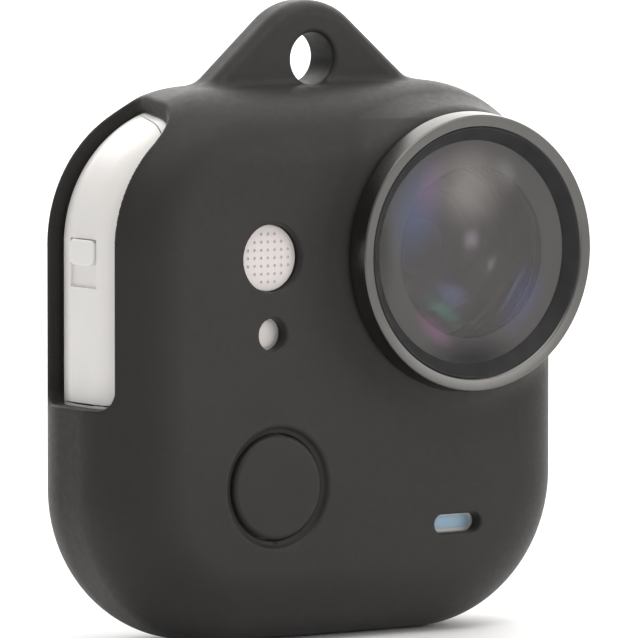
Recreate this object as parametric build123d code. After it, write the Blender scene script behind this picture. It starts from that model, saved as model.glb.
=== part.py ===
from build123d import *

import os
from math import cos, radians, sin

# Pocket action camera in a soft lanyard sleeve. Millimetres, +Z up, front towards -Y, +X to the right of
# someone facing the lens. Shapes are drawn about the centre of the camera body and moved once, at the end,
# so that the origin is the middle of the foot of the whole object's box.

# ---- Driving dimensions ----
SLEEVE_SIDE = 50.0          # width and height of the sleeve
SLEEVE_DEPTH = 17.0
SLEEVE_WALL = 1.5
SLEEVE_CORNER = 14.0        # corner radius seen from the front
SLEEVE_EDGE = 7.0           # roll-over of the front and back edges
LENS_MOUND = 0.75           # how far the sleeve stands forward round the lens
SHELL_WALL = 1.2            # wall of the camera body
SEAM_Y = 5.6                # where the rear cover meets the shell
RING_PROUD = 3.5            # guard ring in front of the sleeve

LENS_X, LENS_Z = 11.3, 9.8
LENS_TOWER_BACK = -1.6      # rear end of the shell's tube round the lens
RING_RADIUS, RING_THICKNESS = 12.7, 2.15
SKIRT_RADIUS = 11.2         # bayonet skirt of the guard ring
COLLAR_RADIUS = 10.7        # fixed collar inside the skirt
GROOVE_RADIUS = 10.15       # floor of the collar's bayonet groove
GLASS_RADIUS = 11.2
SEAL_WALL = 0.15            # gasket between the cover glass and the ring
BARREL_RADIUS = 9.4
REAR_BARREL_RADIUS = 6.8
FRONT_LENS_RADIUS, FRONT_LENS_SHOULDER, MIDDLE_LENS_RADIUS, REAR_LENS_RADIUS = 8.3, 7.85, 5.55, 4.15

BUTTON_X, BUTTON_Z = -8.2, -10.65
PAD_RADIUS = 4.7
PAD_GROOVE_RADIUS = 5.5
CAP_RADIUS = 4.0
PRESS_TRAVEL = 0.4

SPEAKER_X, SPEAKER_Z, SPEAKER_RADIUS = -8.75, 9.95, 3.09
LIGHT_X, LIGHT_Z, LIGHT_RADIUS = -8.75, 3.1, 1.45
STATUS_X, STATUS_Z, STATUS_LENGTH, STATUS_HEIGHT = 11.5, -15.0, 5.0, 1.7

LUG_THICKNESS = 4.2
LUG_HOLE_Z, LUG_HOLE_RADIUS = 27.25, 2.35
LUG_TIP_Z, LUG_TIP_RADIUS = 25.9, 6.6
LUG_FLANK = 49.0            # degrees from upright
LUG_EDGE = 1.2              # roll-over of the lug's edges

SLOT_FRONT, SLOT_BACK, SLOT_BOTTOM = -5.3, 5.0, -3.2
SLOT_END_FRONT, SLOT_END_BACK = -17.6, -15.0
REAR_OPENING_SIDE, REAR_OPENING_CORNER = 37.0, 7.5

HINGE_X, HINGE_Z, HINGE_RADIUS, HINGE_PIN_RADIUS = -22.3, -1.6, 0.8, 0.4
KNUCKLE_INNER, KNUCKLE_OUTER = 2.3, 3.0
BRACKET_X, BRACKET_FOOT_Z, BRACKET_WALL = -20.5, -5.0, 0.6
DOOR_GAP = 0.1              # between the door and the edge of the shell's opening
LATCH_WIDTH, LATCH_BOTTOM, LATCH_TOP = 4.0, 9.45, 11.75
LATCH_RECESS = 2.0          # open part of the recess, below the knob
LATCH_TRAVEL = 1.8
LATCH_FACE_DEPTH, LATCH_GAP = 0.27, 0.1
STEM_WIDTH, STEM_BOTTOM, STEM_TOP = 1.4, 11.35, 11.6

SCREW_PLACES = [(-16.0, -16.0), (16.9, -16.2), (-16.0, 16.0), (1.5, 19.0)]
MAGNET_PLACES = [(x, z) for x in (-9.5, 9.5) for z in (-4.0, 9.0)]
SCREW_HOLE_RADIUS, SCREW_HEAD_RADIUS, SCREW_BOSS_RADIUS = 0.7, 1.4, 1.8
SCREW_SEAT, SCREW_TOP = 5.9, 6.35
MAGNET_RADIUS, MAGNET_FRONT, MAGNET_BACK = 2.4, 4.9, 6.4
CONTACT_Z = -14.5
CONTACT_PITCH, CONTACT_RADIUS = 2.4, 0.6
PORT_Z = 5.4                # middle height of the two ports behind the door
PORT_Y = -2.3               # middle depth of the data port

# Depths in the lens, from the front
GLASS_BACK = -10.85
COLLAR_FRONT = -10.3
RETAINER_FRONT = -9.9
BARREL_FRONT, BARREL_STEP, BARREL_BACK = -9.2, -3.5, 0.5
GROOVE_FRONT, GROOVE_BACK = -8.75, -7.75
BAYONET_PLAY = 0.15
FRONT_LENS_BACK = -6.6
MIDDLE_LENS_FRONT, STOP_FRONT, STOP_BACK = -5.2, -2.55, -2.25
HOLDER_FRONT, HOLDER_BACK = -1.5, 3.0
FILTER_FRONT, FILTER_BACK, SENSOR_FRONT = 1.5, 1.8, 2.2

# Depths of the boards and what they carry
CAP_BACK, SWITCH_FRONT = -5.2, -3.7
CONTROL_FRONT, CONTROL_BACK = -3.4, -2.8
BATTERY_FRONT, BATTERY_BACK = -1.4, 4.6
MAIN_FRONT, MAIN_BACK = -0.7, 0.1
SENSOR_BOARD_BACK, SPREADER_BACK = 3.8, 4.4
CONNECTOR_BACK = 1.2

# ---- Worked out ----
BODY_SIDE = SLEEVE_SIDE - 2 * SLEEVE_WALL
BODY_DEPTH = SLEEVE_DEPTH - 2 * SLEEVE_WALL
SLEEVE_FRONT = -SLEEVE_DEPTH / 2
BODY_FRONT, BODY_BACK = -BODY_DEPTH / 2, BODY_DEPTH / 2
INNER_FRONT = BODY_FRONT + SHELL_WALL
RING_FRONT = SLEEVE_FRONT - RING_PROUD
CAP_FRONT = BODY_FRONT - PRESS_TRAVEL - 0.05
GLASS_FRONT = RING_FRONT + 0.2
GLASS_SEAT = RING_FRONT + 1.55
DOOR_FACE = -BODY_SIDE / 2  # outer face of the side door
FAR = 40.0                  # longer than the object, for cutting tools


# ---- Drawing helpers ----
def plate(outline, front, back):
    """Solid of an outline drawn as seen from the front, between two depths."""
    return extrude(Plane.XZ.offset(-front) * outline, amount=front - back)


def disc(x, z, radius, front, back):
    return plate(Pos(x, z) * Circle(radius), front, back)


def tube(x, z, outer, inner, front, back):
    return disc(x, z, outer, front, back) - disc(x, z, inner, front - 1, back + 1)


def block(x_low, x_high, front, back, z_low, z_high):
    """Box between two corners."""
    box = Box(x_high - x_low, back - front, z_high - z_low)
    return Pos((x_low + x_high) / 2, (front + back) / 2, (z_low + z_high) / 2) * box


def turned(*profile, x=LENS_X, z=LENS_Z):
    """Ring or disc turned about the lens axis, or another, from (radius, depth) points."""
    return Pos(x, 0, z) * revolve(Polygon(*profile, align=None), Axis.Y)


def ball(radius, y):
    """Sphere centred on the lens axis."""
    return Pos(LENS_X, y, LENS_Z) * Sphere(radius)


def rounded_slab(side, depth, corner, edge):
    """Square slab about the middle, with round corners and rolled-over front and back edges."""
    slab = extrude(Plane.XZ * RectangleRounded(side, side, corner), amount=depth / 2, both=True)
    faces = slab.faces().sort_by(Axis.Y)
    return fillet(faces[0].edges() + faces[-1].edges(), edge)


OUTER_SLAB = rounded_slab(BODY_SIDE, BODY_DEPTH, SLEEVE_CORNER - SLEEVE_WALL, SLEEVE_EDGE - SLEEVE_WALL)
INNER_SLAB = rounded_slab(
    BODY_SIDE - 2 * SHELL_WALL,
    BODY_DEPTH - 2 * SHELL_WALL,
    SLEEVE_CORNER - SLEEVE_WALL - SHELL_WALL,
    SLEEVE_EDGE - SLEEVE_WALL - SHELL_WALL,
)


def side_window(grow):
    """Region of the side cut-out, grown outwards: up the left side and over the top-left corner."""
    front, back, bottom = SLOT_FRONT - grow, SLOT_BACK + grow, SLOT_BOTTOM - grow
    side = Pos((front + back) / 2, (bottom + FAR) / 2) * RectangleRounded(back - front, FAR - bottom, 1.6)
    from_side = extrude(Plane.YZ.offset(-FAR) * side, amount=FAR - 5)
    end = Polygon(
        (-FAR, front), (SLOT_END_FRONT + grow, front), (SLOT_END_BACK + grow, back), (-FAR, back), align=None
    )
    end = fillet(end.vertices().sort_by(Axis.X)[-2:], 1.4)
    from_top = extrude(Plane.XY.offset(bottom - 1) * end, amount=FAR)
    return from_side & from_top


# ---- Sleeve ----
def lug():
    """Rounded triangle on top, its flanks running into the sleeve, its edges rolled over."""
    lean = radians(LUG_FLANK)
    touch_x, touch_z = LUG_TIP_RADIUS * cos(lean), LUG_TIP_Z + LUG_TIP_RADIUS * sin(lean)
    foot_z = SLEEVE_SIDE / 2 - 1
    foot_x = touch_x + (touch_z - foot_z) * sin(lean) / cos(lean)
    outline = Polygon(
        (-foot_x, foot_z), (-touch_x, touch_z), (touch_x, touch_z), (foot_x, foot_z), align=None
    )
    outline += Pos(0, LUG_TIP_Z) * Circle(LUG_TIP_RADIUS)
    outline &= Pos(0, foot_z + FAR / 2) * Rectangle(2 * FAR, FAR)
    solid = extrude(Plane.XZ * outline, amount=LUG_THICKNESS / 2, both=True)
    faces = solid.faces().sort_by(Axis.Y)
    return fillet(faces[0].edges() + faces[-1].edges(), LUG_EDGE)


def silicone_sleeve():
    outer_edge_depth = SLEEVE_DEPTH / 2 - SLEEVE_EDGE
    skin = rounded_slab(SLEEVE_SIDE, SLEEVE_DEPTH, SLEEVE_CORNER, SLEEVE_EDGE)
    mound_front = SLEEVE_FRONT - LENS_MOUND
    mound = turned((0, mound_front), (12.7, mound_front), (13.4, -outer_edge_depth - 2.5), (0, 0))
    sleeve = skin + mound + lug()
    sleeve -= OUTER_SLAB
    sleeve -= disc(LENS_X, LENS_Z, SKIRT_RADIUS, BODY_FRONT, 0)
    sleeve -= disc(LENS_X, LENS_Z, SKIRT_RADIUS + 0.3, SLEEVE_FRONT - 1, BODY_FRONT)
    sleeve -= Pos(0, 0, LUG_HOLE_Z) * Rot(X=90) * Cylinder(LUG_HOLE_RADIUS, LUG_THICKNESS)
    sleeve -= disc(SPEAKER_X, SPEAKER_Z, SPEAKER_RADIUS, SLEEVE_FRONT - 1, BODY_FRONT)
    sleeve -= disc(LIGHT_X, LIGHT_Z, LIGHT_RADIUS, SLEEVE_FRONT - 1, BODY_FRONT)
    sleeve -= disc(BUTTON_X, BUTTON_Z, PAD_RADIUS + 0.06, SLEEVE_FRONT - 1, BODY_FRONT)
    sleeve -= disc(BUTTON_X, BUTTON_Z, PAD_GROOVE_RADIUS, SLEEVE_FRONT - 1, SLEEVE_FRONT + 0.5)
    pill = Pos(STATUS_X, STATUS_Z) * SlotOverall(STATUS_LENGTH, STATUS_HEIGHT)
    sleeve -= plate(pill, SLEEVE_FRONT - 1, BODY_FRONT)
    sleeve -= side_window(0)
    opening = RectangleRounded(REAR_OPENING_SIDE, REAR_OPENING_SIDE, REAR_OPENING_CORNER)
    sleeve -= plate(opening, 0, SLEEVE_DEPTH)
    return sleeve


def button_pad():
    return disc(BUTTON_X, BUTTON_Z, PAD_RADIUS, SLEEVE_FRONT, CAP_FRONT)


# ---- Lens guard ----
def guard_ring():
    """Turned ring: bevelled face, bore for the glass, and a bayonet skirt with three lugs."""
    face, back, foot = RING_FRONT, RING_FRONT + RING_THICKNESS, BODY_FRONT - 0.7
    skirt_inner, bore = COLLAR_RADIUS + 0.05, GLASS_RADIUS + SEAL_WALL
    ring = turned(
        (RING_RADIUS - 0.3, face), (RING_RADIUS, face + 0.5), (RING_RADIUS, back - 0.15),
        (RING_RADIUS - 0.15, back), (SKIRT_RADIUS, back), (SKIRT_RADIUS, foot), (skirt_inner, foot),
        (skirt_inner, GLASS_SEAT), (bore, GLASS_SEAT), (bore, face + 0.25), (RING_RADIUS - 0.4, face),
    )
    lug_inner, lug_outer = GROOVE_RADIUS + 0.05, COLLAR_RADIUS + 0.2
    lug_front, lug_back = GROOVE_FRONT + BAYONET_PLAY, GROOVE_BACK - BAYONET_PLAY
    lugs = tube(LENS_X, LENS_Z, lug_outer, lug_inner, lug_front, lug_back)
    for turn in (0, 120, 240):
        ring += lugs & bayonet_sector(turn, 12)
    return ring


def bayonet_sector(turn, half_angle):
    """Wedge from the lens axis, this many degrees round and this wide each side."""
    tip = Vector(FAR * cos(radians(half_angle)), FAR * sin(radians(half_angle)))
    wedge = Polygon((0, 0), (tip.X, -tip.Y), (tip.X, tip.Y), align=None)
    return plate(Pos(LENS_X, LENS_Z) * Rot(Z=turn) * wedge, RING_FRONT - 1, 0)


def guard_glass():
    return disc(LENS_X, LENS_Z, GLASS_RADIUS, GLASS_FRONT, GLASS_BACK)


def guard_seal():
    """Gasket round the glass and behind its edge."""
    outer, inner = GLASS_RADIUS + SEAL_WALL, GLASS_RADIUS - 0.95
    return turned(
        (GLASS_RADIUS, GLASS_FRONT), (outer, GLASS_FRONT), (outer, GLASS_SEAT),
        (inner, GLASS_SEAT), (inner, GLASS_BACK), (GLASS_RADIUS, GLASS_BACK),
    )


# ---- Lens ----
def lens_collar():
    """Fixed collar with a bayonet groove and three entry slots a sixth of a turn from the lugs."""
    collar = tube(LENS_X, LENS_Z, COLLAR_RADIUS, BARREL_RADIUS + 0.1, COLLAR_FRONT, BODY_FRONT)
    collar -= tube(LENS_X, LENS_Z, COLLAR_RADIUS + 1, GROOVE_RADIUS, GROOVE_FRONT, GROOVE_BACK)
    entry = tube(LENS_X, LENS_Z, COLLAR_RADIUS + 1, GROOVE_RADIUS, COLLAR_FRONT - 1, GROOVE_FRONT + 0.1)
    for turn in (60, 180, 300):
        collar -= entry & bayonet_sector(turn, 14)
    return collar


def lens_barrel():
    """Stepped tube: a wide front seat, then a narrow tail that fits the holder."""
    barrel = disc(LENS_X, LENS_Z, BARREL_RADIUS, BARREL_FRONT, BARREL_STEP)
    barrel += disc(LENS_X, LENS_Z, REAR_BARREL_RADIUS, BARREL_STEP, BARREL_BACK)
    barrel -= disc(LENS_X, LENS_Z, FRONT_LENS_RADIUS + 0.05, BARREL_FRONT - 1, FRONT_LENS_BACK)
    barrel -= disc(LENS_X, LENS_Z, 7.6, FRONT_LENS_BACK, MIDDLE_LENS_FRONT - 0.4)
    barrel -= disc(LENS_X, LENS_Z, MIDDLE_LENS_RADIUS + 0.05, MIDDLE_LENS_FRONT - 0.4, STOP_BACK + 0.05)
    return barrel - disc(LENS_X, LENS_Z, REAR_LENS_RADIUS + 0.05, STOP_BACK, BARREL_BACK + 1)


def lens_retaining_ring():
    front, back = RETAINER_FRONT, BARREL_FRONT
    return turned((7.9, front), (BARREL_RADIUS, front), (BARREL_RADIUS, back), (8.2, back))


def front_lens():
    """Domed meniscus, its rim held behind the retaining ring."""
    dome = disc(LENS_X, LENS_Z, FRONT_LENS_RADIUS, COLLAR_FRONT, FRONT_LENS_BACK) & ball(19.0, 9.0)
    dome -= tube(LENS_X, LENS_Z, BARREL_RADIUS, FRONT_LENS_SHOULDER, COLLAR_FRONT, BARREL_FRONT + 0.6)
    return dome - (ball(7.5, -1.2) & disc(LENS_X, LENS_Z, 6.4, BARREL_FRONT, 0))


def middle_lens():
    return disc(LENS_X, LENS_Z, MIDDLE_LENS_RADIUS, MIDDLE_LENS_FRONT, STOP_FRONT - 0.05) - ball(9.0, -13.6)


def rear_lens():
    return disc(LENS_X, LENS_Z, REAR_LENS_RADIUS, -1.6, BARREL_BACK - 0.1) & ball(6.5, 4.6)


def aperture_stop():
    return tube(LENS_X, LENS_Z, MIDDLE_LENS_RADIUS, 2.6, STOP_FRONT, STOP_BACK)


def lens_holder():
    """Square base that carries the barrel over the sensor."""
    base = plate(Pos(LENS_X, LENS_Z) * RectangleRounded(15, 15, 2), HOLDER_FRONT, HOLDER_BACK)
    base -= disc(LENS_X, LENS_Z, REAR_BARREL_RADIUS + 0.02, HOLDER_FRONT - 1, BARREL_BACK + 0.1)
    base -= plate(Pos(LENS_X, LENS_Z) * Rectangle(8.2, 8.2), 0, FILTER_FRONT + 0.1)
    return base - plate(Pos(LENS_X, LENS_Z) * Rectangle(10.0, 9.0), FILTER_FRONT, HOLDER_BACK + 1)


def infrared_filter():
    return plate(Pos(LENS_X, LENS_Z) * Rectangle(9.6, 8.6), FILTER_FRONT, FILTER_BACK)


def image_sensor():
    return plate(Pos(LENS_X, LENS_Z) * Rectangle(8.4, 7.0), SENSOR_FRONT, HOLDER_BACK)


# ---- Camera body ----
def shell_half(keep):
    """Wall of the camera body on one side of the seam."""
    return (OUTER_SLAB - INNER_SLAB) & keep


def cover_seal():
    """Gasket in the shell's rim, under the rear cover."""
    outer = RectangleRounded(42.8, 42.8, 10.4)
    inner = RectangleRounded(41.6, 41.6, 9.8)
    return plate(outer - inner, SEAM_Y - 0.6, SEAM_Y)


def front_shell():
    shell = shell_half(block(-FAR, FAR, -FAR, SEAM_Y, -FAR, FAR))
    shell -= side_window(-0.2)
    shell -= door_edge_space()
    shell += disc(LENS_X, LENS_Z, SKIRT_RADIUS, BODY_FRONT, LENS_TOWER_BACK)
    shell -= disc(LENS_X, LENS_Z, BARREL_RADIUS + 0.1, BODY_FRONT - 1, 0)
    for x, z in SCREW_PLACES:
        shell += disc(x, z, SCREW_BOSS_RADIUS, INNER_FRONT, SEAM_Y)
        shell -= disc(x, z, SCREW_HOLE_RADIUS, -0.5, SEAM_Y)
    shell -= disc(SPEAKER_X, SPEAKER_Z, 2.6, BODY_FRONT - 1, INNER_FRONT + 0.5)
    shell -= disc(SPEAKER_X, SPEAKER_Z, 3.4, BODY_FRONT - 1, BODY_FRONT + 0.6)
    shell -= disc(LIGHT_X, LIGHT_Z, 1.2, BODY_FRONT - 1, INNER_FRONT + 0.5)
    shell -= plate(status_outline(0), BODY_FRONT - 1, INNER_FRONT + 0.5)
    shell -= disc(BUTTON_X, BUTTON_Z, CAP_RADIUS + 0.06, BODY_FRONT - 1, INNER_FRONT + 0.5)
    for side in (-1, 1):
        shell += hinge_knuckle(side)
    shell -= hinge_bore(HINGE_PIN_RADIUS)
    return shell - cover_seal()


def rear_cover():
    cover = shell_half(block(-FAR, FAR, SEAM_Y, FAR, -FAR, FAR))
    for x, z in SCREW_PLACES:
        cover += disc(x, z, SCREW_BOSS_RADIUS, SEAM_Y, SCREW_SEAT)
        cover -= disc(x, z, SCREW_HOLE_RADIUS + 0.1, 0, FAR)
        cover -= disc(x, z, SCREW_HEAD_RADIUS + 0.1, SCREW_SEAT, FAR)
    for x, z in MAGNET_PLACES:
        cover -= disc(x, z, MAGNET_RADIUS, 0, MAGNET_BACK)
    return cover - plate(contact_outline(), 0, FAR)


def cover_screws():
    return [
        disc(x, z, SCREW_HOLE_RADIUS, 0.2, SCREW_SEAT) + disc(x, z, SCREW_HEAD_RADIUS, SCREW_SEAT, SCREW_TOP)
        for x, z in SCREW_PLACES
    ]


def mount_magnets():
    return [disc(x, z, MAGNET_RADIUS, MAGNET_FRONT, MAGNET_BACK) for x, z in MAGNET_PLACES]


def contact_outline():
    return Pos(0, CONTACT_Z) * SlotOverall(11, 3.4)


def contact_columns():
    return [CONTACT_PITCH * n for n in (-1.5, -0.5, 0.5, 1.5)]


def contact_block():
    base = plate(contact_outline(), 5.0, BODY_BACK - 0.2)
    for x in contact_columns():
        base -= disc(x, CONTACT_Z, CONTACT_RADIUS, 0, FAR)
    return base


def contact_pins():
    return [disc(x, CONTACT_Z, CONTACT_RADIUS, 5.0, BODY_BACK) for x in contact_columns()]


# ---- Front openings ----
def speaker_grille():
    """Raised round grille in the shell's recess, pierced on a square grid."""
    grille = disc(SPEAKER_X, SPEAKER_Z, 3.4, BODY_FRONT, BODY_FRONT + 0.6)
    grille += disc(SPEAKER_X, SPEAKER_Z, SPEAKER_RADIUS - 0.14, BODY_FRONT - 0.6, BODY_FRONT)
    pitch, reach = 0.72, 2.4
    steps = [pitch * (n - 3) for n in range(7)]
    for dx in steps:
        for dz in steps:
            if dx * dx + dz * dz < reach * reach:
                grille -= disc(SPEAKER_X + dx, SPEAKER_Z + dz, 0.14, -8, -6)
    return grille


def speaker_capsule():
    return disc(SPEAKER_X, SPEAKER_Z, 3.2, INNER_FRONT, -3.2)


def indicator_window():
    stem = disc(LIGHT_X, LIGHT_Z, 1.2, BODY_FRONT - 0.1, INNER_FRONT)
    return stem + disc(LIGHT_X, LIGHT_Z, 1.9, INNER_FRONT, INNER_FRONT + 0.7)


def indicator_led():
    return block(LIGHT_X - 0.8, LIGHT_X + 0.8, MAIN_FRONT - 0.7, MAIN_FRONT, LIGHT_Z - 0.8, LIGHT_Z + 0.8)


def status_outline(grow):
    """Pill as the shell shows it, inside the sleeve's own opening."""
    return Pos(STATUS_X, STATUS_Z) * SlotOverall(STATUS_LENGTH - 0.5 + grow, STATUS_HEIGHT - 0.5 + grow)


def status_window():
    flange = plate(status_outline(1.4), INNER_FRONT, INNER_FRONT + 0.6)
    return plate(status_outline(0), BODY_FRONT, INNER_FRONT) + flange


def status_led():
    front = CONTROL_FRONT - 0.6
    return block(STATUS_X - 1, STATUS_X + 1, front, CONTROL_FRONT, STATUS_Z - 0.5, STATUS_Z + 0.5)


def button_cap():
    """Shutter button: flanged behind the shell, with a stem towards the dome switch."""
    cap = disc(BUTTON_X, BUTTON_Z, CAP_RADIUS, CAP_FRONT, CAP_BACK)
    cap += disc(BUTTON_X, BUTTON_Z, CAP_RADIUS + 0.5, INNER_FRONT + 0.1, CAP_BACK)
    return cap + disc(BUTTON_X, BUTTON_Z, 1.0, CAP_BACK, SWITCH_FRONT - PRESS_TRAVEL - 0.05)


def dome_switch():
    return disc(BUTTON_X, BUTTON_Z, 2.0, SWITCH_FRONT, CONTROL_FRONT)


# ---- Boards, battery and ports ----
def inside(shape):
    """The part of a shape that lies within the camera body's cavity."""
    return shape & INNER_SLAB


def control_board():
    return inside(block(-13.9, 14.6, CONTROL_FRONT, CONTROL_BACK, -18.6, -5.0))


def battery_pad():
    return inside(block(-10.5, 14.0, CONTROL_BACK, BATTERY_FRONT, -18.0, -5.0))


def battery_cell():
    cell = block(-11.5, 15.0, BATTERY_FRONT, BATTERY_BACK, -19.0, -4.2)
    return fillet(cell.edges().filter_by(Axis.X), 1.0)


def main_board():
    board = inside(block(-20.2, 1.0, MAIN_FRONT, MAIN_BACK, -3.0, 17.5))
    for x, z in SCREW_PLACES:
        board -= disc(x, z, SCREW_BOSS_RADIUS + 0.3, MAIN_FRONT - 1, MAIN_BACK + 1)
    return board


def processor_chip():
    return block(-5.6, 0.4, MAIN_FRONT - 1.1, MAIN_FRONT, 0.0, 6.0)


def board_chips():
    return [
        block(-5.4, -0.8, MAIN_FRONT - 0.9, MAIN_FRONT, 12.0, 16.2),
        block(-12.8, -9.4, MAIN_FRONT - 0.8, MAIN_FRONT, -2.2, 0.8),
        block(-3.4, 0.2, MAIN_BACK, MAIN_BACK + 0.9, 2.0, 5.6),
        block(-3.4, -0.6, MAIN_BACK, MAIN_BACK + 0.8, -1.8, 0.6),
    ]


def sensor_board():
    return inside(plate(Pos(LENS_X, LENS_Z) * RectangleRounded(17, 17, 1), HOLDER_BACK, SENSOR_BOARD_BACK))


def heat_spreader():
    outline = Pos(LENS_X, LENS_Z) * RectangleRounded(16, 16, 1.5)
    return inside(plate(outline, SENSOR_BOARD_BACK, SPREADER_BACK))


def flex_connector():
    return block(-6.4, -2.8, MAIN_BACK, CONNECTOR_BACK, 12.4, 17.2)


def sensor_flex():
    """Flat ribbon in an easy S from the connector up to the sensor board."""
    thickness = 0.15
    low, high = CONNECTOR_BACK + thickness / 2, HOLDER_BACK - thickness / 2
    path = FilletPolyline((-6.0, low), (-1.6, low), (0.6, high), (3.6, high), radius=0.9)
    return extrude(Plane.XY.offset(12.6) * trace(path, line_width=thickness), amount=4.4)


def usb_port():
    """Metal shell with a tongue, open towards the side door."""
    shell = port_pill(9.0, 3.2, -21.2, -14.0) - port_pill(8.4, 2.6, -22.0, -15.0)
    return shell + block(-20.6, -15.0, PORT_Y - 0.35, PORT_Y + 0.35, PORT_Z - 3.35, PORT_Z + 3.35)


def port_pill(length, height, x_low, x_high):
    outline = Pos(PORT_Y, PORT_Z) * Rot(Z=90) * SlotOverall(length, height)
    return extrude(Plane.YZ.offset(x_low) * outline, amount=x_high - x_low)


def card_socket():
    outer = block(-19.6, -4.6, MAIN_BACK, MAIN_BACK + 2.0, PORT_Z - 6.2, PORT_Z + 6.2)
    return outer - block(-20.6, -5.2, 0.5, 1.7, PORT_Z - 5.6, PORT_Z + 5.6)


def memory_card():
    return block(-20.9, -5.9, 0.6, 1.6, PORT_Z - 5.5, PORT_Z + 5.5)


def port_frame():
    """Plate with an opening for each port, against the shell's inner wall."""
    frame = inside(block(-21.2, -20.2, -5.8, 5.0, -0.2, 13.0))
    frame -= port_pill(9.1, 3.3, -23, -18)
    return frame - block(-23, -18, 0.4, 1.8, PORT_Z - 5.7, PORT_Z + 5.7)


# ---- Side door ----
def hinge_cylinder(radius, front, back):
    return Pos(HINGE_X, (front + back) / 2, HINGE_Z) * Rot(X=90) * Cylinder(radius, back - front)


def hinge_bore(radius):
    return hinge_cylinder(radius, -3.6, 3.6)


def hinge_knuckle(side):
    """Fixed knuckle behind the door's skin, on a bracket up from the inside of the shell's wall."""
    front, back = sorted((side * KNUCKLE_INNER, side * KNUCKLE_OUTER))
    reach = BRACKET_X + BRACKET_WALL
    arm = block(HINGE_X, reach, front, back, HINGE_Z - 0.45, HINGE_Z + 0.45)
    leg = block(BRACKET_X, reach, front, back, BRACKET_FOOT_Z, HINGE_Z)
    foot = block(-FAR, reach, front, back, BRACKET_FOOT_Z, BRACKET_FOOT_Z + BRACKET_WALL)
    return (hinge_cylinder(HINGE_RADIUS, front, back) + arm + leg + foot) & OUTER_SLAB


def door_edge_space():
    """Room in the shell's wall for the door's lower edge to turn in, widest at the middle of the side."""
    return turned(
        (0, -4.2), (1.35, -4.2), (1.68, -3.4), (1.88, -1.5), (1.88, 1.5), (1.72, 3.1), (1.35, 3.9), (0, 3.9),
        x=HINGE_X, z=HINGE_Z,
    )


def door_window():
    return side_window(-0.2 - DOOR_GAP)


def side_door():
    """Curved door that is part of the body's surface, its hinge hidden behind its lower end."""
    door = shell_half(door_window())
    door += hinge_cylinder(HINGE_RADIUS, SLOT_FRONT, SLOT_BACK) & OUTER_SLAB & door_window()
    for side in (-1, 1):
        front, back = sorted((side * (KNUCKLE_INNER - 0.1), side * (KNUCKLE_OUTER + 0.1)))
        door -= hinge_cylinder(HINGE_RADIUS + 0.1, front, back)
        door -= block(HINGE_X - 0.3, 0, front, back, HINGE_Z - 2, HINGE_Z + 0.7)
    door -= hinge_bore(HINGE_PIN_RADIUS + 0.03)
    return door - latch_recess()


def latch_recess():
    """Shallow recess for the knob to slide in, and the slot its stem passes through."""
    recess = block(
        DOOR_FACE - 1, DOOR_FACE + LATCH_FACE_DEPTH + 0.03, -LATCH_WIDTH / 2 - LATCH_GAP,
        LATCH_WIDTH / 2 + LATCH_GAP, LATCH_BOTTOM - LATCH_RECESS, LATCH_TOP + LATCH_GAP,
    )
    return recess + block(
        DOOR_FACE - 1, DOOR_FACE + 2, -STEM_WIDTH / 2 - LATCH_GAP, STEM_WIDTH / 2 + LATCH_GAP,
        STEM_BOTTOM - LATCH_TRAVEL - LATCH_GAP, STEM_TOP + LATCH_GAP,
    )


def door_hinge_pin():
    return hinge_bore(HINGE_PIN_RADIUS)


def door_seal():
    """Gasket ring on the door's inner face, round both ports."""
    ring = block(-22.3, -21.3, -3.9, 3.6, 0.2, 12.6) - block(-23, -20, -3.1, 2.8, 1.0, 11.9)
    return ring & INNER_SLAB


def door_latch():
    """Sliding knob, its stem and the plate that keeps it in the door."""
    foot, keeper = DOOR_FACE + LATCH_FACE_DEPTH, DOOR_FACE + SHELL_WALL + 0.05
    half, stem = LATCH_WIDTH / 2, STEM_WIDTH / 2
    knob = block(DOOR_FACE - 0.25, foot, -half, half, LATCH_BOTTOM, LATCH_TOP)
    knob = fillet(knob.edges().filter_by(Axis.X), 0.8)
    knob = fillet(knob.faces().sort_by(Axis.X)[0].edges(), 0.15)
    knob += block(foot, keeper, -stem, stem, STEM_BOTTOM, STEM_TOP)
    return knob + block(keeper, keeper + 0.35, -1.3, 1.3, STEM_BOTTOM - 1.0, STEM_TOP + 0.05)


# ---- Writing the parts ----
MAKERS = [
    silicone_sleeve, button_pad, guard_ring, guard_glass, guard_seal, lens_collar, lens_barrel,
    lens_retaining_ring, front_lens, middle_lens, rear_lens, aperture_stop, lens_holder, infrared_filter,
    image_sensor, sensor_board, heat_spreader, sensor_flex, flex_connector, front_shell, rear_cover,
    cover_screws, mount_magnets, contact_block, contact_pins, speaker_grille, speaker_capsule,
    indicator_window, indicator_led, status_window, status_led, button_cap, dome_switch, control_board,
    battery_pad, battery_cell, main_board, processor_chip, board_chips, usb_port, card_socket, memory_card,
    port_frame, side_door, door_hinge_pin, door_seal, door_latch, cover_seal,
]


def place(shape):
    """Move from the body's middle to the foot of the whole object's box."""
    solids = Compound(children=shape) if isinstance(shape, list) else shape
    return Pos(0, RING_PROUD / 2, SLEEVE_SIDE / 2) * solids


os.makedirs("parts", exist_ok=True)
for maker in MAKERS:
    export_step(place(maker()), f"parts/{maker.__name__}.step")
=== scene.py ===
import math

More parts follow.
